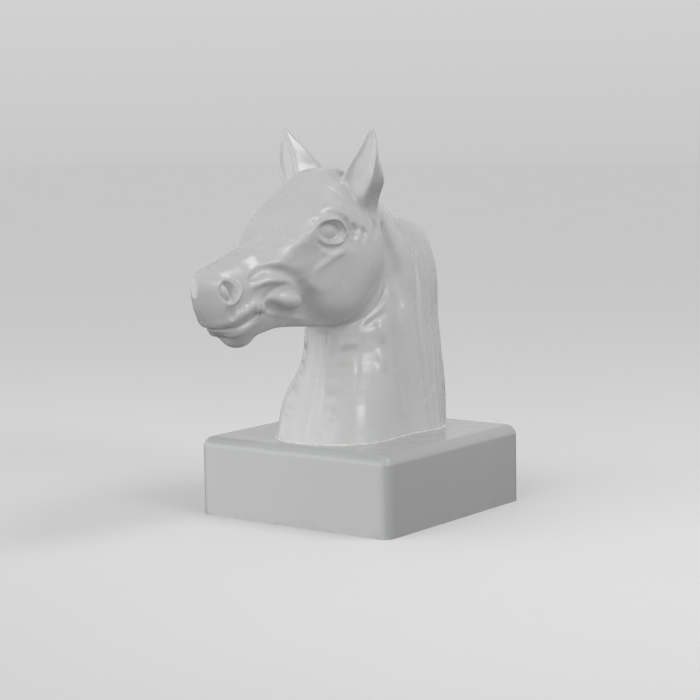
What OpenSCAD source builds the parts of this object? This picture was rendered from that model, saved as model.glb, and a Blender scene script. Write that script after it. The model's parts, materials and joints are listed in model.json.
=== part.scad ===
// Giant lawn chess knight: a hollow horse head bolted to a hollow, ballastable square base.
// Frame: +Z up, the horse faces -Y, origin at the centre of the base's underside. Millimetres.

/* [Base] */
// Width of the square base
base_w = 300; // [280:5:330]
// Height of the base
base_h = 102; // [96:1:120]
// Radius of the base's rounded edges
edge_r = 14; // [8:1:15]
// Wall of the base moulding
base_wall = 5; // [4:0.5:6]
// Depth that the bottom panel is set into the base
panel_recess = 7; // [6:0.5:9]
// Thickness of the bottom panel
panel_t = 5; // [4:0.5:6]

/* [Horse] */
// Size of the horse's head and neck against the nominal one
horse_scale = 1; // [0.97:0.01:1.02]
// Wall of the two head shells
head_wall = 4; // [3:0.5:5]
// Thickness of the mounting block in the neck's foot
block_t = 18; // [15:1:22]

/* [Fasteners] */
// Radius of the bolts that hold the neck
neck_bolt_r = 4; // [4:0.5:5]
// Radius of the screws that hold the bottom panel
panel_screw_r = 2.5; // [2.5:0.5:3]

/* [Filler] */
// Radius of the filler hole that the plug closes
filler_r = 25; // [22:1:28]
// Place of the filler behind the centre of the base
filler_y = 62; // [55:1:75]

/* [Hidden] */
$fn = 48;
gap = 0.2;          // glue or running gap between neighbours
deep = 60;          // extra reach of a cutting shape

// Half sections of the head, from the jaw's underside over the cheek and eye to the face.
// Each station is [distance in front of the origin, [[half width, height], ...]].
HEAD = [
    [-36, [[0, 330], [14, 332], [26, 336], [33, 345], [35, 355], [33, 366], [28, 377], [16, 388], [0, 392]]],
    [0, [[0, 300], [18, 302], [34, 310], [46, 328], [48, 350], [44, 372], [38, 391], [23, 412], [0, 420]]],
    [30, [[0, 268], [22, 269], [42, 278], [54, 305], [57, 335], [54, 368], [47, 396], [28, 427], [0, 438]]],
    [60, [[0, 254], [24, 255], [44, 263], [58, 291], [62, 326], [59, 361], [52, 396], [32, 432], [0, 445]]],
    [95, [[0, 250], [24, 251], [44, 258], [58, 290], [60, 328], [59, 362], [53, 396], [31, 431], [0, 442]]],
    [130, [[0, 252], [23, 253], [41, 260], [56, 290], [58, 330], [57, 363], [52, 389], [29, 415], [0, 424]]],
    [165, [[0, 255], [18, 255], [32, 261], [42, 285], [50, 328], [51, 352], [47, 373], [26, 396], [0, 403]]],
    [200, [[0, 256], [17, 256], [30, 262], [40, 285], [44, 320], [43, 342], [35, 358], [18, 374], [0, 379]]],
    [235, [[0, 246], [16, 247], [27, 255], [33, 280], [37, 306], [34, 325], [25, 342], [11, 354], [0, 358]]],
    [265, [[0, 246], [14, 247], [24, 256], [31, 277], [33, 300], [31, 318], [23, 334], [12, 344], [0, 346]]],
    [290, [[0, 264], [11, 266], [20, 273], [25, 287], [27, 304], [25, 318], [19, 330], [10, 337], [0, 339]]],
    [306, [[0, 279], [8, 281], [13, 288], [16, 297], [17, 308], [16, 318], [13, 326], [7, 332], [0, 334]]],
    [320, [[0, 302], [2.5, 303], [4, 306], [5, 310], [5.3, 314], [5, 317], [4, 321], [2.5, 324], [0, 325]]]
];

// Half sections of the neck, from the throat round the side to the mane.
// Each station is [height, [[half width, distance behind the origin], ...]].
NECK = [
    [102, [[0, -125], [30, -122], [60, -101], [77, -66], [76, -25], [74, 15],
        [82, 58], [67, 98], [38, 121], [0, 128]]],
    [150, [[0, -107], [26, -105], [50, -94], [68, -63], [71, -22], [70, 15],
        [77, 58], [65, 100], [36, 124], [0, 132]]],
    [200, [[0, -93], [20, -91], [38, -75], [55, -51], [65, -20], [66, 12],
        [72, 58], [60, 101], [32, 127], [0, 135]]],
    [250, [[0, -84], [20, -82], [36, -67], [50, -47], [61, -18], [61, 12],
        [66, 56], [54, 101], [29, 129], [0, 138]]],
    [300, [[0, -60], [18, -58], [34, -49], [47, -35], [54, -12], [56, 14],
        [61, 56], [53, 100], [28, 129], [0, 138]]],
    [340, [[0, -45], [16, -44], [30, -37], [43, -25], [50, -8], [50, 14],
        [53, 52], [47, 93], [25, 122], [0, 131]]],
    [368, [[0, -40], [13, -39], [25, -34], [36, -24], [41, -8], [41, 12],
        [41, 43], [35, 76], [19, 103], [0, 113]]],
    [385, [[0, -38], [10, -37], [20, -32], [28, -22], [32, -8], [31, 8],
        [26, 24], [18, 40], [9, 52], [0, 57]]]
];

// The ear's stations: [half width, distance behind the origin, height, radius], from root to tip.
EAR = [[40, -48, 396, 19], [46, -55, 420, 26], [52, -62, 440, 26], [60, -68, 465, 17], [66, -64, 485, 8],
    [68, -61, 496, 1.5]];

steps = 2;          // lofted steps between two stations, and between two points of a section
ear_sides = 16;
head_s = horse_scale;
foot_z = base_h;    // the neck stands here, on the base

function cubic(a, b, c, d, t) =
    0.5 * (2 * b + (c - a) * t + (2 * a - 5 * b + 4 * c - d) * t * t + (3 * b - a - 3 * c + d) * t * t * t);
function at(list, i) = list[max(0, min(len(list) - 1, i))];
function smooth(list) = [
    for (i = [0 : len(list) - 2], k = [0 : steps - 1])
        cubic(at(list, i - 1), list[i], list[i + 1], at(list, i + 2), k / steps),
    list[len(list) - 1]
];
function places(stations) = smooth([for (s = stations) s[0]]);
function sections(stations) =
    let (rows = [for (s = stations) smooth(s[1])],
        columns = [for (j = [0 : len(rows[0]) - 1]) smooth([for (r = rows) r[j]])])
    [for (i = [0 : len(columns[0]) - 1]) [for (c = columns) c[i]]];

// A section drawn in by the wall: its mid-line's ends move along it, and the rest moves towards its middle.
function drawn_in(section, wall) =
    let (low = section[0][1], high = section[len(section) - 1][1])
    let (mid = (low + high) / 2, half = (high - low) / 2)
    [for (p = section) [
        p[0] < 0.01 ? 0 : max(0.3, p[0] - wall * min(1, p[0] / 12)),
        mid + (p[1] - mid) * max(0.05, half - wall) / half
    ]];
function both_sides(section) =
    concat(section, [for (i = [len(section) - 2 : -1 : 1]) [-section[i][0], section[i][1]]]);

// A closed solid through rings of equally many points, with flat ends.
module loft(rings) {
    n = len(rings[0]);
    last = (len(rings) - 1) * n;
    sides = [for (r = [0 : len(rings) - 2], i = [0 : n - 1], k = [0, 1])
        let (a = r * n + i, b = r * n + (i + 1) % n)
        k == 0 ? [a, b + n, b] : [a, a + n, b + n]];
    first_cap = [for (i = [1 : n - 2]) [0, i, i + 1]];
    last_cap = [for (i = [1 : n - 2]) [last, last + i + 1, last + i]];
    polyhedron([for (r = rings, p = r) p], concat(sides, first_cap, last_cap));
}

// The solid head, drawn in by the wall.
module head_form(wall) {
    away = places(HEAD);
    profile = sections(HEAD);
    count = len(away) - 1;
    loft([for (i = [0 : count])
        let (inward = wall * (i < 2 ? 1 : (i > count - 2 ? -1 : 0)))
        [for (p = both_sides(drawn_in(profile[i], wall))) [p[0], -(away[i] + inward), p[1]]]]);
}

// The solid neck, drawn in by the wall and carried on downwards by the drop.
module neck_form(wall, drop = 0) {
    height = places(NECK);
    profile = sections(NECK);
    count = len(height) - 1;
    loft([for (i = [0 : count])
        [for (p = both_sides(drawn_in(profile[i], wall)))
            [p[0], p[1], height[i] - (i == 0 ? drop : 0) - (i == count ? wall : 0)]]]);
}

module ear_form() {
    loft([for (s = smooth(EAR)) [for (i = [0 : ear_sides - 1])
        [s[0] + s[3] * cos(i * 360 / ear_sides), s[1] + s[3] * sin(i * 360 / ear_sides), s[2]]]]);
}

// The cup of the ear opens forwards and a little outwards.
module ear_cup() {
    hull() {
        translate([58, -92, 446]) sphere(r = 11, $fn = 16);
        translate([66, -82, 480]) sphere(r = 3.5, $fn = 12);
        translate([54, -78, 432]) sphere(r = 7, $fn = 16);
    }
}

module at_horse() {
    translate([0, 0, foot_z]) scale(head_s) translate([0, 0, -NECK[0][0]]) children();
}

module left_side() {
    translate([0, -base_w * 2, -base_h]) cube([base_w, base_w * 4, base_h * 8]);
}

// One half of the horse, hollow, with a flat rim at the mid-plane. The resize resolves it as one mesh.
module half_shell() {
    at_horse() resize([0, 0, 0]) difference() {
        intersection() {
            union() {
                head_form(0);
                neck_form(0);
                difference() {
                    ear_form();
                    ear_cup();
                }
            }
            left_side();
        }
        head_form(head_wall);
        neck_form(head_wall, deep);
    }
}

module head_left_shell() {
    color("gainsboro") half_shell();
}

module head_right_shell() {
    color("gainsboro") mirror([1, 0, 0]) half_shell();
}

// The strip laminated over the inside of the joint between the two shells.
strip_t = 2.5;
strip_half_w = 16;
module seam_strip() {
    outer = head_wall + 2 * gap;
    color("khaki") at_horse() resize([0, 0, 0]) difference() {
        intersection() {
            union() {
                head_form(outer);
                neck_form(outer);
            }
            translate([-strip_half_w, -base_w * 2, NECK[0][0] + block_t + 2])
                cube([2 * strip_half_w, base_w * 4, base_h * 8]);
        }
        head_form(outer + strip_t);
        neck_form(outer + strip_t, deep);
    }
}

// The bolts stand on a rectangle inside the neck's foot.
bolt_x = 38;
bolt_y = 62;
module bolt_places() {
    for (x = [-bolt_x, bolt_x], y = [-bolt_y, bolt_y]) translate([x, y, 0]) children();
}

insert_r = neck_bolt_r + 2;
module neck_mounting_block() {
    color("burlywood") difference() {
        intersection() {
            at_horse() neck_form(head_wall + gap, deep);
            translate([-base_w / 2, -base_w / 2, foot_z]) cube([base_w, base_w, block_t]);
        }
        translate([0, 0, foot_z - 1]) bolt_places() cylinder(r = insert_r, h = block_t + 2);
    }
}

module neck_inserts() {
    color("goldenrod") translate([0, 0, foot_z]) bolt_places() difference() {
        cylinder(r = insert_r, h = block_t);
        translate([0, 0, -1]) cylinder(r = neck_bolt_r + gap, h = block_t + 2);
    }
}

// A thin bead of sealant in the corner between the neck's foot and the base.
bead_t = 1.6;
module neck_sealant_bead() {
    foot = both_sides(sections(NECK)[0]) * head_s;
    color("whitesmoke") difference() {
        translate([0, 0, foot_z]) linear_extrude(bead_t) polygon(foot * 1.02);
        translate([0, 0, foot_z - 1]) linear_extrude(bead_t + 2) polygon(foot * 1.003);
    }
}

// A box with rounded upright and top edges. The small disc keeps the top at its full height.
module rounded_block(w, r, low, high) {
    hull() for (x = [-1, 1], y = [-1, 1]) translate([x * (w / 2 - r), y * (w / 2 - r), 0]) {
        translate([0, 0, high - r]) {
            sphere(r = r, $fn = 32);
            cylinder(r = r / 10, h = r, $fn = 32);
        }
        translate([0, 0, low]) cylinder(r = r, h = 1, $fn = 32);
    }
}
module rounded_plate(w, r, low, high) {
    hull() for (x = [-1, 1], y = [-1, 1])
        translate([x * (w / 2 - r), y * (w / 2 - r), low]) cylinder(r = r, h = high - low, $fn = 32);
}

bush_r = filler_r + 4.5;
bolt_play = 0.5;
inner_w = base_w - 2 * base_wall;
inner_r = edge_r - base_wall;
gasket_t = 1.5;
ledge_z = panel_recess + panel_t + gasket_t;
ledge_t = 6;
ledge_w = 15;
boss_r = 9;
boss_h = 22;
panel_insert_r = panel_screw_r + 1.5;
board_t = 12;
board_w = 196;
top_in_z = base_h - base_wall;

// The panel's screws: one at each corner and one at the middle of each side.
screw_in = inner_w / 2 - ledge_w / 2;
module screw_places() {
    for (x = [-1, 0, 1], y = [-1, 0, 1]) if (x != 0 || y != 0)
        translate([x * screw_in, y * screw_in, 0]) children();
}

module base_shell() {
    color("silver") difference() {
        rounded_block(base_w, edge_r, 0, base_h);
        difference() {
            rounded_block(inner_w, inner_r, ledge_z + ledge_t, top_in_z);
            screw_places() cylinder(r = boss_r, h = ledge_z + boss_h);
        }
        difference() {
            rounded_plate(inner_w - 2 * ledge_w, inner_r, -1, ledge_z + ledge_t + 1);
            screw_places() translate([0, 0, ledge_z]) cylinder(r = boss_r, h = ledge_t + 2);
        }
        rounded_plate(inner_w, inner_r, -1, ledge_z);
        screw_places() translate([0, 0, ledge_z - 1]) cylinder(r = panel_insert_r, h = boss_h - 3);
        bolt_places() translate([0, 0, top_in_z - 1]) cylinder(r = neck_bolt_r + bolt_play, h = base_wall + 2);
    }
}

module base_stiffener_board() {
    color("burlywood") difference() {
        translate([-board_w / 2, -board_w / 2, top_in_z - board_t]) cube([board_w, board_w, board_t]);
        bolt_places() translate([0, 0, top_in_z - board_t - 1])
            cylinder(r = neck_bolt_r + bolt_play, h = board_t + 2);
    }
}

washer_t = 1.6;
bolt_head_h = 5.5;
board_z = top_in_z - board_t;
module neck_washers() {
    color("silver") bolt_places() translate([0, 0, board_z - washer_t]) difference() {
        cylinder(r = neck_bolt_r * 2.8, h = washer_t);
        translate([0, 0, -1]) cylinder(r = neck_bolt_r + 0.4, h = washer_t + 2);
    }
}

module neck_bolts() {
    head_z = board_z - washer_t - bolt_head_h;
    color("silver") bolt_places() translate([0, 0, head_z]) {
        cylinder(r = neck_bolt_r * 1.85, h = bolt_head_h, $fn = 6);
        translate([0, 0, bolt_head_h])
            cylinder(r = neck_bolt_r, h = foot_z + block_t - 2 - head_z - bolt_head_h);
    }
}

panel_top = panel_recess + panel_t;
module bottom_panel() {
    color("dimgray") difference() {
        rounded_plate(inner_w - 1, inner_r, panel_recess, panel_top);
        screw_places() translate([0, 0, panel_recess - 1]) cylinder(r = panel_screw_r + 0.4, h = panel_t + 2);
        translate([0, filler_y, panel_recess - 1]) cylinder(r = bush_r + 0.5, h = panel_t + 2);
    }
}

module panel_gasket() {
    color("black") difference() {
        rounded_plate(inner_w - 1, inner_r, panel_top, ledge_z);
        difference() {
            rounded_plate(inner_w - 2 * ledge_w + 2, inner_r, panel_top - 1, ledge_z + 1);
            screw_places() translate([0, 0, panel_top - 1]) cylinder(r = boss_r, h = gasket_t + 2);
        }
        screw_places() translate([0, 0, panel_top - 1]) cylinder(r = panel_screw_r + 0.4, h = gasket_t + 2);
    }
}

insert_h = 12;
module panel_inserts() {
    color("goldenrod") screw_places() translate([0, 0, ledge_z]) difference() {
        cylinder(r = panel_insert_r, h = insert_h);
        translate([0, 0, -1]) cylinder(r = panel_screw_r + 0.1, h = insert_h + 2);
    }
}

panel_washer_t = 1;
module panel_washers() {
    color("silver") screw_places() translate([0, 0, panel_recess - panel_washer_t]) difference() {
        cylinder(r = panel_screw_r * 2, h = panel_washer_t);
        translate([0, 0, -1]) cylinder(r = panel_screw_r + 0.3, h = panel_washer_t + 2);
    }
}

screw_head_h = 2.6;
module panel_screws() {
    under = panel_recess - panel_washer_t;
    color("silver") screw_places() {
        translate([0, 0, under - screw_head_h]) difference() {
            cylinder(r = panel_screw_r * 1.8, h = screw_head_h);
            translate([0, 0, -1]) cylinder(r = panel_screw_r * 0.8, h = 2.4, $fn = 6);
        }
        translate([0, 0, under]) cylinder(r = panel_screw_r, h = ledge_z + insert_h - 1 - under);
    }
}

// The filler: a flanged bush through the panel, clamped from inside by a ring, closed by a plug.
flange_r = filler_r + 11;
flange_t = 2.5;
bush_gasket_t = 1;
bush_h = 16;
flange_z = panel_recess - bush_gasket_t - flange_t;
module at_filler(z) {
    translate([0, filler_y, z]) children();
}
module ring(outer, inner, h) {
    difference() {
        cylinder(r = outer, h = h);
        translate([0, 0, -1]) cylinder(r = inner, h = h + 2);
    }
}

module filler_bush() {
    color("dimgray") at_filler(flange_z) difference() {
        union() {
            cylinder(r = flange_r, h = flange_t);
            cylinder(r = bush_r, h = bush_h);
        }
        translate([0, 0, -1]) cylinder(r = filler_r, h = bush_h + 2);
    }
}

module bush_gasket() {
    color("black") at_filler(panel_recess - bush_gasket_t)
        ring(flange_r - 0.5, bush_r + 0.2, bush_gasket_t);
}

ring_t = 4;
module bush_lock_ring() {
    color("dimgray") at_filler(panel_top) difference() {
        ring(flange_r, bush_r + 0.05, ring_t);
        for (a = [0 : 60 : 300]) rotate(a) translate([flange_r, 0, -1]) cylinder(r = 3, h = ring_t + 2);
    }
}

// The plug's head lies under the bush's flange and its shank fills the bush. A grip bar crosses its dished head.
plug_head_t = 2.5;
seal_r = 1.5;
shank_h = 13;
seat_z = flange_z - 0.2;
module filler_plug() {
    shank_r = filler_r - 0.3;
    groove_z = seat_z + 4;
    color("black") at_filler(0) difference() {
        union() {
            translate([0, 0, seat_z - plug_head_t]) cylinder(r = filler_r + 3, h = plug_head_t);
            translate([0, 0, seat_z]) cylinder(r = shank_r, h = shank_h);
        }
        difference() {
            translate([0, 0, seat_z - plug_head_t - 1]) cylinder(r = filler_r - 5, h = shank_h - 2);
            translate([-filler_r, -2.5, seat_z - plug_head_t + 0.1]) cube([2 * filler_r, 5, shank_h]);
        }
        translate([0, 0, groove_z]) ring(filler_r + 1, shank_r - 2 * seal_r - gap, 2 * seal_r + 2 * gap);
    }
}

module plug_seal_ring() {
    color("dimgray") at_filler(seat_z + 4 + seal_r + gap)
        rotate_extrude() translate([filler_r - 0.2 - seal_r, 0]) circle(r = seal_r, $fn = 24);
}

head_left_shell();
head_right_shell();
seam_strip();
neck_mounting_block();
neck_inserts();
neck_sealant_bead();
base_shell();
base_stiffener_board();
neck_bolts();
neck_washers();
bottom_panel();
panel_gasket();
panel_inserts();
panel_screws();
panel_washers();
filler_bush();
bush_gasket();
bush_lock_ring();
filler_plug();
plug_seal_ring();
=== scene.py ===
"""Giant garden chess knight: its looks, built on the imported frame. Sculpted lengths are in millimetres."""
import math

import bmesh
import bpy
import numpy as np
import openvdb
from mathutils import Matrix, Vector
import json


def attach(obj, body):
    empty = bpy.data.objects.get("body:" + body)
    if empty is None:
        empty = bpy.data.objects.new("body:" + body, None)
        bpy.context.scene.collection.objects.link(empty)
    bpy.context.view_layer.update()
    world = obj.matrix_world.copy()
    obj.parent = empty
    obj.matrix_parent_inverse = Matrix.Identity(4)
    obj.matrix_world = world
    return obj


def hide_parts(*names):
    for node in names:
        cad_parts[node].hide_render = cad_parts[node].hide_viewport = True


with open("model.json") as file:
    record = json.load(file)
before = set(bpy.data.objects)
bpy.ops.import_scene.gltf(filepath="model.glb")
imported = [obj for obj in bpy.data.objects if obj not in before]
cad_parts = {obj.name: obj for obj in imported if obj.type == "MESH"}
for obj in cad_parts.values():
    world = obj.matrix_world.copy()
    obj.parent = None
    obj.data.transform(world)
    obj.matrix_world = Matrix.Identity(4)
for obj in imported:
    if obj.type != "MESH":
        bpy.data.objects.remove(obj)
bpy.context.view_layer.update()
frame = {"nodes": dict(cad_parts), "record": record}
MM = 0.001

# ---------------------------------------------------------------- the horse's form
VOXEL = 1.55   # the sculpting grid's cell
GRID_LOW = np.array([-6.0, -334.0, 94.0])
GRID_HIGH = np.array([96.0, 148.0, 504.0])
FOOT_Z = 102.0      # the base's top, where the neck ends
WALL = 4.0          # thickness of the moulding
BAND = 26.0         # how far from a lofted mesh its distances are worked out
FAR = 30.0          # stands for any distance beyond that
FACE_TILT = 0.85    # turns heights over the sloping face into distances from it
FACE_EDGE = 1.2     # softness of the edges round the flat of the face
NECK_BLEND = 9.0
EAR_BLEND = 5.0
EAR_THICKER = 0.8
STROKE_REACH = 2.4  # how far a stroke is felt, in widths

# The mane's strands: their number, and where they lie round the neck's half section, which ends at 10.
STRANDS = 28
FIRST_STRAND = 6.9
STRAND_STEP = 0.107
CREST = 9.96
MANE_FOOT = 98
MANE_TOP = 384
RAGGED = 12         # how much lower the shortest strand may begin

# Half sections of the head: [distance in front of the origin, [(half width, height), ...]] from jaw to brow.
HEAD = [
    [-36, [(0, 330), (14, 332), (26, 336), (33, 345), (35, 355), (33, 366), (28, 377), (16, 388), (0, 392)]],
    [0, [(0, 300), (18, 302), (34, 310), (46, 328), (48, 350), (45, 374), (39, 394), (24, 414), (0, 422)]],
    [30, [(0, 268), (22, 269), (42, 278), (54, 305), (57, 335), (54, 368), (47, 398), (30, 428), (0, 440)]],
    [60, [(0, 254), (24, 255), (44, 263), (58, 293), (62, 326), (59, 361), (52, 396), (34, 434), (0, 450)]],
    [95, [(0, 250), (22, 251), (41, 258), (57, 290), (59, 328), (58, 362), (53, 396), (30, 432), (0, 454)]],
    [130, [(0, 252), (20, 252), (36, 258), (51, 288), (56, 332), (58, 363), (55, 387), (36, 411), (0, 441)]],
    [165, [(0, 255), (18, 255), (31, 260), (43, 285), (52, 331), (53, 354), (53, 376), (40, 392), (0, 419)]],
    [200, [(0, 256), (17, 256), (28, 261), (37, 285), (45, 320), (43, 338), (37, 356), (22, 377), (0, 396)]],
    [235, [(0, 250), (15, 250), (26, 257), (34, 280), (37, 306), (34, 325), (24, 342), (12, 354), (0, 361)]],
    [265, [(0, 250), (14, 251), (24, 259), (31, 277), (33, 300), (31, 318), (23, 334), (12, 345), (0, 349)]],
    [290, [(0, 262), (12, 264), (20, 271), (27, 286), (28, 304), (26, 318), (20, 330), (11, 338), (0, 341)]],
    [304, [(0, 276), (8, 278), (14, 285), (18, 296), (19, 308), (18, 318), (14, 327), (8, 334), (0, 337)]],
    [313, [(0, 288), (6, 290), (9, 296), (11, 303), (12, 310), (11.5, 317), (9.5, 324), (6, 330), (0, 332)]],
    [320, [(0, 302), (2.5, 303), (4, 306), (5, 310), (5.3, 314), (5, 318), (4, 322), (2.5, 325), (0, 326)]],
]

# Half sections of the neck: [height, [(half width, distance behind the origin), ...]] from throat to mane.
NECK = [
    [90, [(0, -129), (20, -129), (50, -118), (70, -96), (79, -68), (78, -27),
          (75, 11), (84, 60), (68, 100), (36, 121), (0, 127)]],
    [102, [(0, -125), (20, -125), (48, -114), (68, -92), (77, -66), (76, -25),
           (73, 12), (82, 60), (66, 101), (36, 122), (0, 128)]],
    [150, [(0, -107), (17, -107), (38, -103), (58, -88), (69, -63), (71, -22),
           (69, 15), (77, 58), (65, 101), (34, 125), (0, 132)]],
    [200, [(0, -93), (13, -92), (26, -83), (41, -70), (55, -50), (65, -20),
           (65, 12), (72, 58), (60, 101), (32, 127), (0, 135)]],
    [250, [(0, -84), (13, -83), (25, -75), (38, -64), (51, -45), (61, -18),
           (61, 12), (66, 56), (54, 101), (29, 129), (0, 138)]],
    [300, [(0, -60), (12, -59), (24, -55), (36, -47), (48, -34), (55, -12),
           (56, 14), (61, 56), (53, 100), (28, 129), (0, 138)]],
    [340, [(0, -45), (11, -45), (22, -41), (33, -35), (44, -24), (50, -8),
           (51, 14), (53, 52), (47, 93), (25, 122), (0, 132)]],
    [368, [(0, -40), (9, -40), (18, -37), (28, -32), (36, -23), (41, -8),
           (41, 12), (41, 44), (36, 77), (20, 104), (0, 114)]],
    [385, [(0, -38), (7, -38), (14, -35), (22, -30), (28, -21), (32, -7),
           (31, 8), (26, 24), (18, 40), (9, 52), (0, 57)]],
]

# The flat of the face, seen from the side: (distance behind the origin, height).
FACE = [(60, 420), (0, 436), (-60, 446), (-95, 443), (-108, 438), (-139, 419), (-169, 402), (-187, 391),
        (-210, 373), (-244, 357), (-271, 348), (-290, 342), (-330, 330)]


def cubic(a, b, c, d, t):
    """One Catmull-Rom step between b and c."""
    return 0.5 * (2 * b + (c - a) * t + (2 * a - 5 * b + 4 * c - d) * t * t
                  + (3 * b - a - 3 * c + d) * t ** 3)


def smooth(points, steps):
    """A smooth run of points through the given ones, with this many steps between two."""
    p = np.asarray(points, float)
    ends = np.concatenate([p[:1], p, p[-1:]])
    out = [cubic(ends[i], ends[i + 1], ends[i + 2], ends[i + 3], k / steps)
           for i in range(len(p) - 1) for k in range(steps)]
    return np.array(out + [p[-1]])


def loft(rings):
    """A closed mesh through rings of equally many points: points and triangles."""
    rings = np.asarray(rings, float)
    count, n = rings.shape[:2]
    points = rings.reshape(-1, 3)
    faces = []
    for r in range(count - 1):
        for i in range(n):
            a, b = r * n + i, r * n + (i + 1) % n
            faces += [(a, b, b + n), (a, b + n, a + n)]
    last = (count - 1) * n
    for i in range(1, n - 1):
        faces += [(0, i + 1, i), (last, last + i, last + i + 1)]
    return points, np.array(faces)


def section_loft(stations, place, steps=4):
    """A loft through stations of half sections, which place() turns into points in space."""
    keys = smooth([[s[0]] for s in stations], steps)[:, 0]
    rows = np.array([smooth(s[1], steps) for s in stations])
    columns = np.stack([smooth(rows[:, j], steps) for j in range(rows.shape[1])], axis=1)
    rings = []
    for key, half in zip(keys, columns):
        whole = np.concatenate([half, half[-2:0:-1] * (-1, 1)])
        rings.append([place(key, u, v) for u, v in whole])
    return loft(rings)


class Field:
    """Distances to the growing form on a regular grid, in millimetres: negative inside."""

    def __init__(self, voxel):
        self.voxel = voxel
        self.low = np.floor(GRID_LOW / voxel).astype(int)
        self.size = np.ceil(GRID_HIGH / voxel).astype(int) - self.low + 1
        self.d = None

    def axes(self, cut):
        return [((np.arange(self.size[k])[cut[k]] + self.low[k]) * self.voxel).astype(np.float32)
                for k in range(3)]

    def grids(self, cut):
        x, y, z = self.axes(cut)
        return x[:, None, None], y[None, :, None], z[None, None, :]

    def around(self, low, high):
        """The slices that hold the box from low to high."""
        a = np.clip(np.floor(np.asarray(low) / self.voxel).astype(int) - self.low, 0, self.size)
        b = np.clip(np.ceil(np.asarray(high) / self.voxel).astype(int) - self.low + 1, 0, self.size)
        return tuple(slice(i, j) for i, j in zip(a, b))

    def mesh(self, points, faces):
        """Distances to a closed mesh."""
        reach = BAND / self.voxel
        grid = openvdb.FloatGrid.createLevelSetFromPolygons(
            points.astype(np.float32), triangles=faces.astype(np.uint32),
            transform=openvdb.createLinearTransform(self.voxel), exBandWidth=reach, inBandWidth=reach)
        out = np.empty(self.size, np.float32)
        grid.copyToArray(out, ijk=tuple(int(v) for v in self.low))
        return out


def soft_min(a, b, k):
    h = np.clip(0.5 + 0.5 * (b - a) / k, 0, 1)
    return b + (a - b) * h - k * h * (1 - h)


def soft_max(a, b, k):
    return -soft_min(-a, -b, k)


# The left ear: [height, [ten points round it: medial rim, hollow, lateral rim, back]].
EAR = [
    [380, [(26, -68), (32, -68), (38, -66), (44, -62), (49, -56),
           (50, -42), (47, -25), (36, -19), (20, -28), (22, -50)]],
    [405, [(30, -74), (37, -74), (45, -72), (53, -67), (58, -60),
           (57, -45), (52, -26), (38, -17), (20, -28), (23, -52)]],
    [428, [(33, -77), (42, -72), (51, -67), (61, -64), (70, -65),
           (69, -48), (61, -26), (43, -18), (22, -30), (25, -54)]],
    [445, [(40, -75), (47, -70), (57, -65), (67, -62), (75, -65),
           (73, -52), (64, -34), (47, -28), (29, -36), (32, -55)]],
    [458, [(47, -71), (53, -67), (62, -63), (71, -61), (77, -64),
           (74, -55), (65, -43), (52, -37), (39, -40), (41, -55)]],
    [471, [(55, -67), (60, -64), (67, -61), (73, -60), (77, -62),
           (74, -56), (67, -48), (58, -44), (48, -46), (50, -56)]],
    [484, [(62, -64), (64, -62), (68, -61), (72, -60), (74, -61),
           (73, -58), (70, -53), (64, -52), (59, -55), (60, -60)]],
    [495, [(67, -62), (67.5, -62.3), (68, -62.5), (68.7, -62.3), (69.4, -61.7),
           (69.4, -60.5), (68.8, -59.8), (68, -59.5), (67, -60), (66.6, -61)]],
]


def ear_loft(steps=4):
    keys = smooth([[s[0]] for s in EAR], steps)[:, 0]
    rows = []
    for _, ring in EAR:
        p = np.array(ring, float)
        n = len(p)
        rows.append([cubic(p[i - 1], p[i], p[(i + 1) % n], p[(i + 2) % n], k / steps)
                     for i in range(n) for k in range(steps)])
    rows = np.array(rows)
    columns = np.stack([smooth(rows[:, j], steps) for j in range(rows.shape[1])], axis=1)
    return loft([[(px, py, key) for px, py in ring] for key, ring in zip(keys, columns)])


def ball(field, centre, radii, turn, low, high):
    """The slices that hold the box, and in them the rough distances to a ball turned by these degrees."""
    cut = field.around(low, high)
    x, y, z = field.grids(cut)
    q = np.stack(np.broadcast_arrays(x - centre[0], y - centre[1], z - centre[2]), -1)
    if any(turn):
        about_x, about_y, about_z = (Matrix.Rotation(math.radians(angle), 3, axis)
                                     for angle, axis in zip(turn, "XYZ"))
        q = q @ np.array(about_z @ about_y @ about_x, np.float32)
    r = np.asarray(radii, np.float32)
    k0 = np.sqrt(((q / r) ** 2).sum(-1)) + 1e-6
    k1 = np.sqrt(((q / (r * r)) ** 2).sum(-1)) + 1e-6
    return cut, k0 * (k0 - 1) / k1


def ball_near(field, centre, radii, blend, turn):
    """A ball's slices and distances, over a box just large enough for it and its blend."""
    reach = max(radii) + blend
    return ball(field, centre, radii, turn, np.array(centre) - reach, np.array(centre) + reach)


def add_ball(field, centre, radii, blend=6.0, turn=(0, 0, 0)):
    cut, d = ball_near(field, centre, radii, blend, turn)
    field.d[cut] = soft_min(field.d[cut], d, blend)


def cut_ball(field, centre, radii, blend=3.0, turn=(0, 0, 0)):
    cut, d = ball_near(field, centre, radii, blend, turn)
    field.d[cut] = soft_max(field.d[cut], -d, blend)


def along(t, values):
    """One value, or several spaced evenly from 0 to 1, read at the places t."""
    values = np.atleast_1d(values)
    return np.interp(t, np.linspace(0, 1, len(values)), values)


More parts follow.
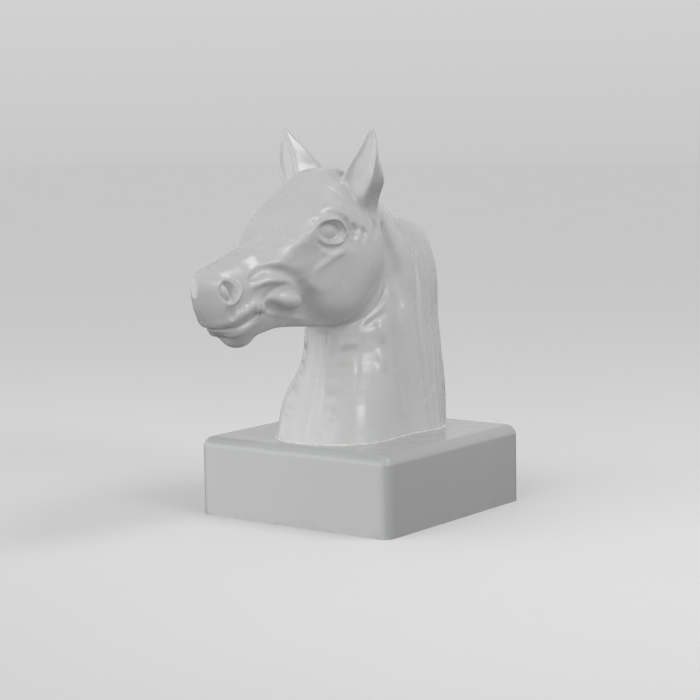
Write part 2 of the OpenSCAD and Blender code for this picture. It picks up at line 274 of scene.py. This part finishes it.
def stroke(field, points, width, depth, fade=0.6, steps=5):
    """A soft groove, or a ridge where depth is negative, along a smooth line. It fades at its ends."""
    line = smooth(points, steps)
    n = len(line)
    t = np.linspace(0, 1, n)
    widths = along(t, width)
    depths = along(t, depth) * np.sin(np.pi * np.clip(t * 0.96 + 0.02, 0, 1)) ** fade
    reach = STROKE_REACH * widths.max()
    whole = field.around(line.min(0) - reach, line.max(0) + reach)
    start = np.array([c.start for c in whole])
    best = np.full([c.stop - c.start for c in whole], 1e9, np.float32)
    push = np.zeros_like(best)
    for i in range(n - 1):
        a, b = line[i], line[i + 1]
        near = field.around(np.minimum(a, b) - reach, np.maximum(a, b) + reach)
        x, y, z = field.grids(near)
        inner = tuple(slice(c.start - k, c.stop - k) for c, k in zip(near, start))
        v = b - a
        s = ((x - a[0]) * v[0] + (y - a[1]) * v[1] + (z - a[2]) * v[2]) / max(float(v @ v), 1e-9)
        s = np.clip(s, 0, 1)
        d2 = (x - a[0] - s * v[0]) ** 2 + (y - a[1] - s * v[1]) ** 2 + (z - a[2] - s * v[2]) ** 2
        w = widths[i] + s * (widths[i + 1] - widths[i])
        amount = (depths[i] + s * (depths[i + 1] - depths[i])) * np.exp(-d2 / (w * w))
        nearer = d2 < best[inner]
        push[inner] = np.where(nearer, amount, push[inner])
        best[inner] = np.where(nearer, d2, best[inner])
    field.d[whole] += push


def skull(field):
    """Masses that stand out of the lofted head: the flat-sided jowl, the chin and the nose's muscle."""
    low, high = (-6, -184, 240), (80, -10, 382)
    cut, jowl = ball(field, (22, -98, 309), (45, 75, 59), (0, 0, 0), low, high)
    cheek = ball(field, (20, -122, 323), (60, 58, 25), (24, 0, 0), low, high)[1]
    jowl = soft_min(jowl, cheek, 8.0)
    x, y, _ = field.grids(cut)
    side = x - 60.0 + 0.2 * np.maximum(0, -125 - y)
    jowl = soft_max(jowl, np.broadcast_to(side, jowl.shape), 6.0)
    field.d[cut] = soft_min(field.d[cut], jowl, 4.0)
    add_ball(field, (0, -245, 251), (17, 22, 14.5), 8)                 # chin
    add_ball(field, (19, -207, 336), (22, 58, 14), 10, (28, 0, -12))   # muscle along the nose


def build_form(voxel):
    """The left half of the horse as distances: its masses, then the features drawn on them."""
    f = Field(voxel)
    f.d = f.mesh(*section_loft(HEAD, lambda d, x, z: (x, -d, z)))
    skull(f)
    y, z = f.grids((slice(None),) * 3)[1:]
    flat = smooth(FACE, 4)[::-1]
    face = (z - np.interp(y, flat[:, 0], flat[:, 1])) * FACE_TILT
    f.d = soft_max(f.d, np.broadcast_to(face.astype(np.float32), f.d.shape), FACE_EDGE)
    f.d = soft_min(f.d, f.mesh(*section_loft(NECK, lambda z, x, y: (x, y, z))), NECK_BLEND)
    f.d = soft_min(f.d, f.mesh(*ear_loft()) - EAR_THICKER, EAR_BLEND)
    face_relief(f)
    muzzle_relief(f)
    neck_relief(f)
    mane_relief(f)
    return f


def face_relief(f):
    # the eye: a socket, its ball, the lids and the folds round them
    cut_ball(f, (66, -131, 370.5), (19, 24, 13.5), 1.5, (-9, 0, -5))
    add_ball(f, (45, -131, 370.5), (9.6, 25, 14.5), 0.4, (-9, 0, -5))
    stroke(f, [(52, -159, 375), (56, -151, 383), (59, -136, 386), (60.5, -118, 384), (61, -107, 376),
               (60, -100, 366)], 2.5, -5.2)
    stroke(f, [(52, -159, 374), (56, -150, 361), (59, -132, 355.5), (61, -115, 356), (61, -105, 362),
               (60, -100, 366)], 2.2, (-1.4, -1.8, -2.6, -3.0))
    stroke(f, [(50, -160, 380), (55, -150, 388.5), (58, -134, 391.5), (60, -116, 389.5), (61, -103, 380),
               (60, -96, 368)], 2.2, 2.6)
    stroke(f, [(53, -155, 361), (57, -145, 352), (59, -130, 349), (61, -114, 350)], 2.4, 1.8)
    stroke(f, [(55, -149, 347), (59, -131, 342), (62, -112, 344)], 4.0, -1.2)
    # the brow's fold above and behind the eye
    stroke(f, [(48, -134, 398), (53, -117, 398), (58, -104, 392), (61, -95, 382), (60, -93, 371)], 5.5, -4.0)
    stroke(f, [(36, -108, 425), (44, -95, 414), (51, -86, 403), (57, -81, 388), (59, -80, 374)], 2.2, 2.4)
    # temple: short drops below the ear, with faint creases that run up from them
    for line, wide, deep in (([(59, -89, 377), (58, -82, 369), (58, -85, 358)], (2.5, 5.5, 2.5), 8.0),
                             ([(59, -70, 371), (58, -64, 365), (57, -70, 352)], (2, 3.5, 2), 5.5),
                             ([(57, -42, 381), (57, -37, 371), (56, -43, 357)], (2, 4, 2.5), 6.0)):
        stroke(f, line, wide, deep, fade=0.8)
    for line in ([(52, -74, 404), (57, -70, 390), (59, -66, 376)],
                 [(51, -60, 412), (56, -53, 392), (58, -47, 376)],
                 [(56, -86, 396), (59, -78, 382), (59, -72, 370)]):
        stroke(f, line, 2.4, 1.3)
    for line in ([(58, -76, 388), (61, -73, 374), (61, -75, 358)],
                 [(57, -52, 390), (60, -50, 372), (60, -54, 357)]):
        stroke(f, line, 4.5, -0.9)
    # cheek bone's ridge, hollow above it, and the edge of the jowl
    stroke(f, [(47, -186, 330), (54, -165, 343), (59, -146, 350), (63, -120, 356)], 7, 1.1, fade=1.0)
    stroke(f, [(50, -172, 317), (56, -150, 330), (60.5, -124, 342), (61, -98, 352)], 5, -1.4)
    stroke(f, [(46, -184, 311), (47, -168, 297), (44, -160, 282), (42, -148, 269), (38, -120, 256)],
           (5, 9.5, 10, 6), 13.0)
    stroke(f, [(54, -8, 342), (57, -9, 320), (56, -13, 298), (52, -24, 278), (45, -44, 259),
               (36, -66, 249)], 3.5, 3.4)


def muzzle_relief(f):
    # nostril: a recess with a raised rim behind it and a tongue of flesh inside
    rim = [(26, -289, 328), (31, -276, 322), (34, -273, 310), (33, -280, 298), (28, -290, 291)]
    stroke(f, rim, 2.8, -2.8)
    cut_ball(f, (29.5, -291.5, 309), (10.5, 11.5, 14.5), 1.2, (18, 0, -22))
    add_ball(f, (22.5, -291.5, 307), (3.5, 5.0, 10), 2.0, (24, 0, -22))
    stroke(f, [(29, -288, 293), (28, -288, 286), (28, -284, 279), (27, -282, 274)], 4, 4.8)
    # mouth
    stroke(f, [(0, -290, 262), (8, -289, 262), (16, -284, 263), (23, -275, 264), (28, -265, 268),
               (31, -255, 273), (33, -247, 278), (34, -239, 280), (34, -233, 276)], 2.3, 5.0)
    stroke(f, [(12, -294, 271), (22, -287, 272), (30, -275, 278), (35, -261, 286), (37, -248, 291),
               (37, -236, 287)], (4, 5, 5.5, 6), (-2.0, -3.6, -4.6, -4.0))
    for centre, radius in (((29, -276, 280), 4.5), ((32, -266, 284), 4.8), ((33.5, -256, 288), 4.2),
                           ((34.5, -248, 287), 5.0), ((34.5, -239, 285), 4.5)):
        add_ball(f, centre, (radius, radius, radius * 1.4), 3.0)
    stroke(f, [(8, -278, 253), (16, -273, 254), (24, -264, 258), (29, -254, 264), (31, -243, 269)], 4, -2.8)
    stroke(f, [(14, -264, 244), (22, -256, 250), (27, -246, 257), (29, -236, 263)], 3, 2.0)
    # the fold of the cheek, its swelling, and the drop below
    stroke(f, [(27, -258, 318), (31, -248, 324), (34, -233, 330), (40, -217, 329), (45, -198, 322),
               (47, -180, 314)], (3, 4.5, 5.5, 7), 6.6)
    stroke(f, [(34, -258, 311), (39, -240, 316), (44, -222, 317), (46, -206, 314)], 5, -4.0)
    stroke(f, [(36, -238, 297), (41, -222, 306), (44, -206, 310), (46, -192, 308)], 3, 3.2)
    add_ball(f, (38, -194, 291), (11.5, 22, 12), 1.5, (-6, 0, -4))
    add_ball(f, (35, -208, 294), (9, 24, 8.5), 5, (-8, 0, -8))
    stroke(f, [(36, -230, 287), (42, -208, 278), (42, -188, 273), (40, -166, 272)], 5.5, 9.5)
    stroke(f, [(35, -228, 279), (36, -202, 272), (37, -172, 266), (39, -138, 261)], 2.6, -2.4)
    stroke(f, [(34, -228, 274), (34, -202, 266), (36, -172, 261), (37, -138, 257)], 2.4, 2.0)
    # nose: bone, muscle along it, and the bump below the eye
    stroke(f, [(17, -258, 343), (22, -232, 350), (31, -208, 356), (42, -190, 358), (48, -176, 358)], 8,
           -3.4, fade=1.0)
    stroke(f, [(14, -249, 350), (18, -224, 358), (23, -202, 369), (30, -186, 377)], 3, -1.2)
    add_ball(f, (42.5, -173, 361), (7, 9, 8), 6)
    stroke(f, [(44, -190, 372), (49, -176, 375), (52, -162, 382)], 5, 1.6)


def on_neck(z, u):
    """The point of the lofted neck at this height, this far round its half section."""
    heights = [s[0] for s in NECK]
    rows = np.array([s[1] for s in NECK], float)
    ring = np.array([[np.interp(z, heights, rows[:, j, k]) for k in range(2)] for j in range(rows.shape[1])])
    i = min(int(u), len(ring) - 2)
    ends = np.concatenate([ring[:1], ring, ring[-1:]])
    x, y = cubic(ends[i], ends[i + 1], ends[i + 2], ends[i + 3], u - i)
    return x, y, z


def neck_relief(f):
    # hollow behind the jaw and the folds of the windpipe
    stroke(f, [(49, -12, 376), (53, -6, 352), (57, 0, 325), (60, 4, 294), (62, 9, 262)], (6, 8, 9.5, 8),
           (14, 32, 34, 14))
    stroke(f, [(50, 12, 372), (57, 20, 345), (63, 26, 315), (66, 28, 285)], 10, -3.0)
    for x, y, z, long in ((37, -69, 225, 12), (35, -78, 203, 16), (37, -85, 183, 18), (38, -95, 161, 17),
                          (40, -104, 138, 14)):
        stroke(f, [(x - long, y - 9, z - 4), (x - 4, y - 3, z), (x + 8, y + 10, z + 2)], (5, 6.5, 5),
               (-0.3, -1.7, -0.1))
        stroke(f, [(x - long, y - 9, z - 14), (x - 4, y - 4, z - 10), (x + 8, y + 9, z - 8)], (6, 6.5, 5),
               (0.3, 1.5, 0.1))
    stroke(f, [(50, -58, 232), (48, -66, 205), (48, -72, 180), (50, -82, 150), (52, -88, 118)], 3.2, 1.5)
    for x, y, z in ((59, -33, 238), (62, -36, 200)):
        stroke(f, [(x - 1, y - 3, z + 17), (x, y, z), (x - 1, y + 1, z - 15)], 6, -2.6)
    stroke(f, [(45, -52, 246), (54, -40, 252), (59, -22, 262)], 5, 2.4)
    stroke(f, [(62, -14, 246), (65, -8, 214), (67, -4, 178), (70, 0, 140)], 7, 1.8)
    # edges of the flat at the neck's front
    stroke(f, [(19, -82, 240), (18, -92, 205), (20, -102, 165), (23, -118, 112)], 4, -1.2)


def mane_relief(f):
    """The mane's front edge, then strands that sway more towards their tops."""
    edge = ((372, 6.6), (345, 6.75), (310, 6.72), (270, 6.68), (230, 6.65), (190, 6.65), (150, 6.7),
            (104, 6.75))
    stroke(f, [on_neck(z, u) for z, u in edge], 3.2, (2.4, 4.4, 5.2, 5.2, 5.0), fade=0)
    rng = np.random.default_rng(7)
    for k in range(STRANDS):
        u = FIRST_STRAND + STRAND_STEP * k
        phase, swing = rng.uniform(0, 6.3), rng.uniform(0.03, 0.09)
        heights = np.linspace(MANE_FOOT, MANE_TOP - RAGGED * rng.random(), 10)
        sway = swing * np.sin(0.026 * heights + phase) * (0.4 + (heights - 100) / 150)
        line = [on_neck(z, min(u + w, CREST)) for z, w in zip(heights, sway)]
        depth = rng.uniform(0.8, 2.3, 6) * min(1.0, 10.2 - u)
        depth[-1] = 0.0
        stroke(f, line, rng.uniform(1.3, 2.2), depth, fade=0, steps=3)


# ---------------------------------------------------------------- assembly
SEAM = 0.05          # half the gap between the two halves
INNER_STEP = 3       # the inner side is this much coarser than the skin
CUT_SLACK = 1e-4     # points this near a cut are on it
SAME_PLACE = 1e-3    # points this near each other are one
MOULD_LINE = 0.25    # depth of the line down the middle of the base's front and back
SOFT_ANGLE = 28      # sharper edges of the base than this, in degrees, are shaded sharp


def surface(form, level, step):
    """Points and quads of the form's surface at this distance, its largest piece only."""
    cells = form.d[::step, ::step, ::step].copy()
    grid = openvdb.FloatGrid()
    grid.background = FAR
    grid.copyFromArray(cells, ijk=(0, 0, 0))
    grid.transform = openvdb.createLinearTransform(form.voxel * step)
    points, quads = grid.convertToQuads(isovalue=level)
    quads = quads.astype(np.int64)
    label = np.arange(len(points))
    while True:
        lowest = label.copy()
        np.minimum.at(lowest, quads, label[quads].min(1)[:, None])
        lowest = lowest[lowest]
        if (lowest == label).all():
            break
        label = lowest
    keep = label == np.bincount(label).argmax()
    new = np.cumsum(keep) - 1
    return points[keep] + form.low * form.voxel, new[quads[keep[quads[:, 0]]]]


def add_surface(bm, points, quads):
    mesh = bpy.data.meshes.new("skin")
    mesh.from_pydata(points.tolist(), [], quads.tolist())
    bm.from_mesh(mesh)
    bpy.data.meshes.remove(mesh)


def rim_edges(bm, axis, place):
    """The open edges that lie on the plane across this axis."""
    return [e for e in bm.edges
            if e.is_boundary and all(abs(v.co[axis] - place) < SAME_PLACE for v in e.verts)]


def slice_at(bm, place, normal, keep_both):
    """Cuts the whole mesh along a plane, and drops what lies beyond it unless both sides are kept."""
    bmesh.ops.bisect_plane(bm, geom=bm.verts[:] + bm.edges[:] + bm.faces[:], dist=CUT_SLACK, plane_co=place,
                           plane_no=normal, clear_outer=not keep_both)


def half_shell(form):
    """The left half of the horse as a hollow moulding: skin, inside, and the cut faces between them."""
    bm = bmesh.new()
    add_surface(bm, *surface(form, 0.0, 1))
    add_surface(bm, *surface(form, -WALL, INNER_STEP))
    slice_at(bm, (SEAM, 0, 0), (-1, 0, 0), keep_both=False)
    slice_at(bm, (0, 0, FOOT_Z), (0, 0, -1), keep_both=False)
    bmesh.ops.recalc_face_normals(bm, faces=bm.faces[:])
    for face in bm.faces:
        face.smooth = True
    seam, foot = rim_edges(bm, 0, SEAM), rim_edges(bm, 2, FOOT_Z)
    corners = sorted({v for e in seam for v in e.verts} & {v for e in foot for v in e.verts},
                     key=lambda v: v.co.y)
    ends = [bm.edges.new(corners[:2]), bm.edges.new(corners[-2:])]
    for edge in seam + foot + ends:
        edge.smooth = False
    bmesh.ops.triangle_fill(bm, use_beauty=True, edges=seam + ends, normal=(-1, 0, 0))
    bmesh.ops.triangle_fill(bm, use_beauty=True, edges=foot + ends, normal=(0, 0, -1))
    bmesh.ops.recalc_face_normals(bm, faces=bm.faces[:])
    return bm


def made(bm, name, scale=(MM, MM, MM)):
    """A new object from this bmesh, scaled to metres."""
    bmesh.ops.scale(bm, vec=scale, verts=bm.verts[:])
    if scale[0] * scale[1] * scale[2] < 0:
        bmesh.ops.reverse_faces(bm, faces=bm.faces[:])
    mesh = bpy.data.meshes.new(name)
    bm.to_mesh(mesh)
    bm.free()
    obj = bpy.data.objects.new(name, mesh)
    bpy.context.scene.collection.objects.link(obj)
    return obj


def stand_in(obj, node, body="knight"):
    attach(obj, body)
    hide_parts(node)


half = half_shell(build_form(VOXEL))
mirrored = half.copy()
left = made(half, "horse_left_half")
right = made(mirrored, "horse_right_half", (-MM, MM, MM))
stand_in(left, "head_left_shell")
stand_in(right, "head_right_shell")


def base_moulding():
    """The hollow plinth, with the faint line of its mould down the middle of the front and the back."""
    bm = bmesh.new()
    bm.from_mesh(frame["nodes"]["base_shell"].data)
    bmesh.ops.scale(bm, vec=(1 / MM,) * 3, verts=bm.verts[:])
    bmesh.ops.remove_doubles(bm, verts=bm.verts[:], dist=SAME_PLACE)
    for x in (-1.0, 0.0, 1.0):
        slice_at(bm, (x, 0, 0), (1, 0, 0), keep_both=True)
    wide = max(v.co.y for v in bm.verts)
    for v in bm.verts:
        if abs(v.co.x) < SAME_PLACE and abs(v.co.y) > wide - 10 * SAME_PLACE:
            v.co.y -= math.copysign(MOULD_LINE, v.co.y)
    for face in bm.faces:
        face.smooth = True
    for edge in bm.edges:
        edge.smooth = edge.calc_face_angle(0.0) < math.radians(SOFT_ANGLE)
    return bm


base = made(base_moulding(), "base_moulding")
even = base.modifiers.new("even shading", "WEIGHTED_NORMAL")
even.keep_sharp = True
stand_in(base, "base_shell")

# ---------------------------------------------------------------- materials


class Shader:
    """A Principled material with short calls for its procedural parts. Texture lengths are in metres."""

    def __init__(self, name, **constants):
        self.material = bpy.data.materials.new(name)
        self.material.use_nodes = True
        self.tree = self.material.node_tree
        self.surface = self.tree.nodes["Principled BSDF"]
        for socket, value in constants.items():
            self.surface.inputs[socket.replace("_", " ")].default_value = value
        self.place = self.node("ShaderNodeTexCoord").outputs["Object"]

    def node(self, kind, **settings):
        made_node = self.tree.nodes.new(kind)
        for key, value in settings.items():
            setattr(made_node, key, value)
        return made_node

    def link(self, source, target):
        self.tree.links.new(source, target)

    def noise(self, scale, detail=4.0, stretch=(1, 1, 1), rough=0.55):
        squeeze = self.node("ShaderNodeMapping")
        squeeze.inputs["Scale"].default_value = stretch
        self.link(self.place, squeeze.inputs["Vector"])
        n = self.node("ShaderNodeTexNoise")
        n.inputs["Scale"].default_value = scale
        n.inputs["Detail"].default_value = detail
        n.inputs["Roughness"].default_value = rough
        self.link(squeeze.outputs["Vector"], n.inputs["Vector"])
        return n.outputs["Fac"]

    def wave(self, scale, distortion, direction):
        w = self.node("ShaderNodeTexWave", wave_type="BANDS", bands_direction=direction)
        w.inputs["Scale"].default_value = scale
        w.inputs["Distortion"].default_value = distortion
        w.inputs["Detail"].default_value = 3.0
        self.link(self.place, w.inputs["Vector"])
        return w.outputs["Fac"]

    def remap(self, source, low, high, to_low, to_high):
        m = self.node("ShaderNodeMapRange")
        m.inputs["From Min"].default_value = low
        m.inputs["From Max"].default_value = high
        m.inputs["To Min"].default_value = to_low
        m.inputs["To Max"].default_value = to_high
        self.link(source, m.inputs["Value"])
        return m.outputs["Result"]

    def mix(self, factor, a, b):
        m = self.node("ShaderNodeMix", data_type="RGBA")
        self.link(factor, m.inputs["Factor"])
        colour_a, colour_b, mixed = m.inputs[6], m.inputs[7], m.outputs[2]
        for socket, value in ((colour_a, a), (colour_b, b)):
            if isinstance(value, tuple):
                socket.default_value = (*value, 1.0)
            else:
                self.link(value, socket)
        return mixed

    def times(self, a, b):
        m = self.node("ShaderNodeMath", operation="MULTIPLY")
        self.link(a, m.inputs[0])
        self.link(b, m.inputs[1])
        return m.outputs[0]

    def colour(self, source):
        self.link(source, self.surface.inputs["Base Color"])

    def roughness(self, source):
        self.link(source, self.surface.inputs["Roughness"])

    def bump(self, source, height, strength):
        b = self.node("ShaderNodeBump")
        b.inputs["Distance"].default_value = height
        b.inputs["Strength"].default_value = strength
        self.link(source, b.inputs["Height"])
        self.link(b.outputs["Normal"], self.surface.inputs["Normal"])

    def hollows(self):
        """1 in the creases, 0 on the open surface."""
        return self.remap(self.node("ShaderNodeNewGeometry").outputs["Pointiness"], 0.46, 0.40, 0.0, 1.0)

    def edges(self):
        """1 on worn edges, 0 elsewhere."""
        return self.remap(self.node("ShaderNodeNewGeometry").outputs["Pointiness"], 0.52, 0.60, 0.0, 1.0)

    def height(self, low, high):
        """1 at the low height, 0 at the high one."""
        parts = self.node("ShaderNodeSeparateXYZ")
        self.link(self.place, parts.inputs[0])
        return self.remap(parts.outputs["Z"], low, high, 1.0, 0.0)


def gelcoat(name, light, shade, dust_and_crease_shade, rough):
    """Glossy moulded plastic in two close tones, with dust and painted shade darkening its creases, and
    scuffs near the ground.
    """
    s = Shader(name, IOR=1.5, Coat_Weight=0.25, Coat_Roughness=0.12, Coat_IOR=1.5)
    tone = s.mix(s.remap(s.noise(7.0, 2.0), 0.25, 0.75, 0.0, 1.0), light, shade)
    # painted shade: the creases are darkened towards the dust tone, partly real dust and partly shade
    # painted into the colour
    crease_shade_and_dust = s.times(s.hollows(), s.remap(s.noise(60.0, 6.0), 0.35, 0.7, 0.3, 0.6))
    tone = s.mix(crease_shade_and_dust, tone, dust_and_crease_shade)
    scuffs = s.times(s.height(0.0, 0.012), s.remap(s.noise(70.0, 6.0), 0.45, 0.75, 0.0, 0.5))
    s.colour(s.mix(scuffs, tone, dust_and_crease_shade))
    s.roughness(s.remap(s.noise(38.0, 6.0), 0.3, 0.7, rough - 0.05, rough + 0.07))
    s.bump(s.noise(14.0, 3.0), 0.0008, 0.3)
    return s.material


def rubber(name, tone):
    s = Shader(name, Specular_IOR_Level=0.35)
    pale = tuple(min(1.0, c * 1.9 + 0.012) for c in tone)
    s.colour(s.mix(s.remap(s.noise(140.0, 6.0), 0.4, 0.75, 0.0, 0.7), tone, pale))
    s.roughness(s.remap(s.noise(60.0), 0.3, 0.7, 0.62, 0.8))
    s.bump(s.noise(900.0, 3.0), 0.00006, 0.6)
    return s.material


def moulded(name, tone, rough, grain=1600.0):
    s = Shader(name, IOR=1.48)
    pale = tuple(min(1.0, c * 1.6 + 0.015) for c in tone)
    tinted = s.mix(s.remap(s.noise(45.0, 6.0), 0.35, 0.7, 0.0, 0.55), tone, pale)
    s.colour(s.mix(s.edges(), tinted, tuple(min(1.0, c * 2.6 + 0.05) for c in tone)))
    s.roughness(s.remap(s.noise(80.0, 6.0), 0.3, 0.7, rough - 0.08, rough + 0.1))
    s.bump(s.noise(grain, 2.0), 0.00005, 0.8)
    return s.material


def metal(name, tone, dark, rough):
    s = Shader(name, Metallic=1.0)
    worn = s.mix(s.remap(s.noise(220.0, 7.0), 0.4, 0.68, 0.0, 1.0), tone, dark)
    s.colour(s.mix(s.hollows(), worn, dark))
    s.roughness(s.remap(s.noise(420.0, 4.0, (1, 1, 6)), 0.3, 0.7, rough - 0.08, rough + 0.12))
    s.bump(s.noise(1500.0, 3.0, (1, 1, 5)), 0.00003, 0.7)
    return s.material


def plywood(name):
    s = Shader(name, Specular_IOR_Level=0.3)
    plies = s.wave(75.0, 0.5, "Z")
    grain = s.noise(26.0, 8.0, (1, 9, 3), 0.65)
    face = s.mix(s.remap(grain, 0.3, 0.72, 0.0, 1.0), (0.66, 0.47, 0.27), (0.44, 0.28, 0.14))
    s.colour(s.mix(s.remap(plies, 0.55, 0.8, 0.0, 0.35), face, (0.30, 0.18, 0.09)))
    s.roughness(s.remap(grain, 0.3, 0.7, 0.6, 0.8))
    s.bump(grain, 0.0003, 0.6)
    return s.material


def laminate(name):
    s = Shader(name, IOR=1.52, Subsurface_Weight=0.05)
    strands = s.wave(190.0, 5.0, "DIAGONAL")
    cross = s.noise(85.0, 7.0, (1, 3, 1))
    tone = s.mix(s.remap(cross, 0.3, 0.7, 0.0, 1.0), (0.72, 0.66, 0.48), (0.56, 0.50, 0.33))
    s.colour(s.mix(s.remap(strands, 0.5, 0.9, 0.0, 0.4), tone, (0.83, 0.80, 0.68)))
    s.roughness(s.remap(cross, 0.3, 0.7, 0.35, 0.6))
    s.bump(strands, 0.0002, 0.5)
    return s.material


FINISHES = {
    "white_gelcoat": gelcoat("white_gelcoat", (0.57, 0.58, 0.57), (0.555, 0.565, 0.555),
                             (0.25, 0.25, 0.24), 0.24),
    "white_base": gelcoat("white_base", (0.49, 0.50, 0.495), (0.47, 0.48, 0.475), (0.34, 0.34, 0.32), 0.2),
    "laminate": laminate("laminate"),
    "plywood": plywood("plywood"),
    "brass": metal("brass", (0.78, 0.58, 0.26), (0.42, 0.29, 0.12), 0.32),
    "white_sealant": rubber("white_sealant", (0.72, 0.72, 0.70)),
    "steel": metal("steel", (0.66, 0.66, 0.67), (0.38, 0.38, 0.38), 0.34),
    "grey_panel": moulded("grey_panel", (0.17, 0.175, 0.18), 0.5, 900.0),
    "black_rubber": rubber("black_rubber", (0.022, 0.022, 0.023)),
    "black_plastic": moulded("black_plastic", (0.022, 0.022, 0.024), 0.42),
}


def finish(obj, name):
    """Gives the object this finish in every material slot."""
    slots = obj.data.materials
    if not len(slots):
        slots.append(None)
    for i in range(len(slots)):
        slots[i] = FINISHES[name]


SLOT_OF = {sub["node"]: sub["material_slot"] for sub in frame["record"]["subparts"]}
for node_name, node_object in frame["nodes"].items():
    finish(node_object, SLOT_OF[node_name])
for piece, slot_name in ((left, "white_gelcoat"), (right, "white_gelcoat"), (base, "white_base")):
    finish(piece, slot_name)

# ---------------------------------------------------------------- studio
FLOOR_SIZE = 14.0
floor_mesh = bmesh.new()
bmesh.ops.create_grid(floor_mesh, x_segments=1, y_segments=1, size=FLOOR_SIZE)
floor = made(floor_mesh, "floor", (1, 1, 1))
paper = Shader("floor_paper", Specular_IOR_Level=0.1)
paper.colour(paper.mix(paper.noise(3.0), (0.94, 0.94, 0.94), (0.92, 0.92, 0.92)))
paper.roughness(paper.remap(paper.noise(20.0), 0.3, 0.7, 0.8, 0.9))
floor.data.materials.append(paper.material)
# the floor takes shadows but throws no light back up under the jaw
floor.visible_diffuse = False
floor.visible_glossy = False


def soft_light(name, place, aim, size, power, spread):
    """A rectangular light at this place, aimed at a point, whose beam spreads by this many degrees."""
    lamp = bpy.data.lights.new(name, "AREA")
    lamp.shape = "RECTANGLE"
    lamp.size, lamp.size_y = size
    lamp.energy = power
    lamp.spread = math.radians(spread)
    holder = bpy.data.objects.new(name, lamp)
    holder.location = place
    holder.rotation_euler = (Vector(aim) - Vector(place)).to_track_quat("-Z", "Y").to_euler()
    bpy.context.scene.collection.objects.link(holder)


def sunlight(name, source, strength, spread):
    """Light from the direction of source, as soft as a sky patch this many degrees wide."""
    lamp = bpy.data.lights.new(name, "SUN")
    lamp.energy = strength
    lamp.angle = math.radians(spread)
    holder = bpy.data.objects.new(name, lamp)
    holder.rotation_euler = Vector(source).to_track_quat("Z", "Y").to_euler()
    bpy.context.scene.collection.objects.link(holder)


sunlight("front", (-0.25, -0.96, 0.06), 1.8, 85)
sunlight("left", (-0.92, -0.38, 0.02), 0.5, 60)
soft_light("side", (1.5, -0.3, 0.95), (0, -0.1, 0.38), (1.1, 1.1), 0.65, 32)
soft_light("gloss", (1.2, 0.35, 1.8), (0, -0.1, 0.3), (0.9, 0.5), 8, 180)


def studio_world(zenith, haze, horizon, ground):
    """A pale graded sky, dim below the horizon, where the floor hides it from the camera."""
    world = bpy.data.worlds.new("studio")
    world.use_nodes = True
    tree = world.node_tree
    kinds = ("TexCoord", "SeparateXYZ", "MapRange", "ValToRGB")
    nodes = {kind: tree.nodes.new("ShaderNode" + kind) for kind in kinds}
    nodes["MapRange"].inputs["From Min"].default_value = -1.0
    ramp = nodes["ValToRGB"].color_ramp
    ramp.elements[0].position, ramp.elements[1].position = 0.43, 1.0
    for place in (0.475, 0.6):
        ramp.elements.new(place)
    for stop, tone in zip(ramp.elements, (ground, horizon, haze, zenith)):
        stop.color = (tone, tone, tone, 1.0)
    for source, target in (
            (nodes["TexCoord"].outputs["Generated"], nodes["SeparateXYZ"].inputs[0]),
            (nodes["SeparateXYZ"].outputs["Z"], nodes["MapRange"].inputs["Value"]),
            (nodes["MapRange"].outputs["Result"], nodes["ValToRGB"].inputs["Fac"]),
            (nodes["ValToRGB"].outputs["Color"], tree.nodes["Background"].inputs["Color"])):
        tree.links.new(source, target)
    bpy.context.scene.world = world


studio_world(0.28, 0.74, 0.56, 0.13)
bpy.context.scene.view_settings.view_transform = "Standard"

CAMERA_PLACE = Vector((1.509, -2.010, 0.513))
CAMERA_AIM = Vector((0.0085, -0.0327, 0.2114))
CAMERA_ROLL = math.radians(-0.98)

camera = bpy.data.objects.new("camera", bpy.data.cameras.new("camera"))
camera.data.lens = 100.0
camera.data.sensor_width = 36.0
camera.data.clip_end = 60.0
camera.location = CAMERA_PLACE
level = (CAMERA_AIM - CAMERA_PLACE).to_track_quat("-Z", "Y").to_matrix()
camera.rotation_euler = (level @ Matrix.Rotation(CAMERA_ROLL, 3, "Z")).to_euler()
bpy.context.scene.collection.objects.link(camera)
bpy.context.scene.camera = camera
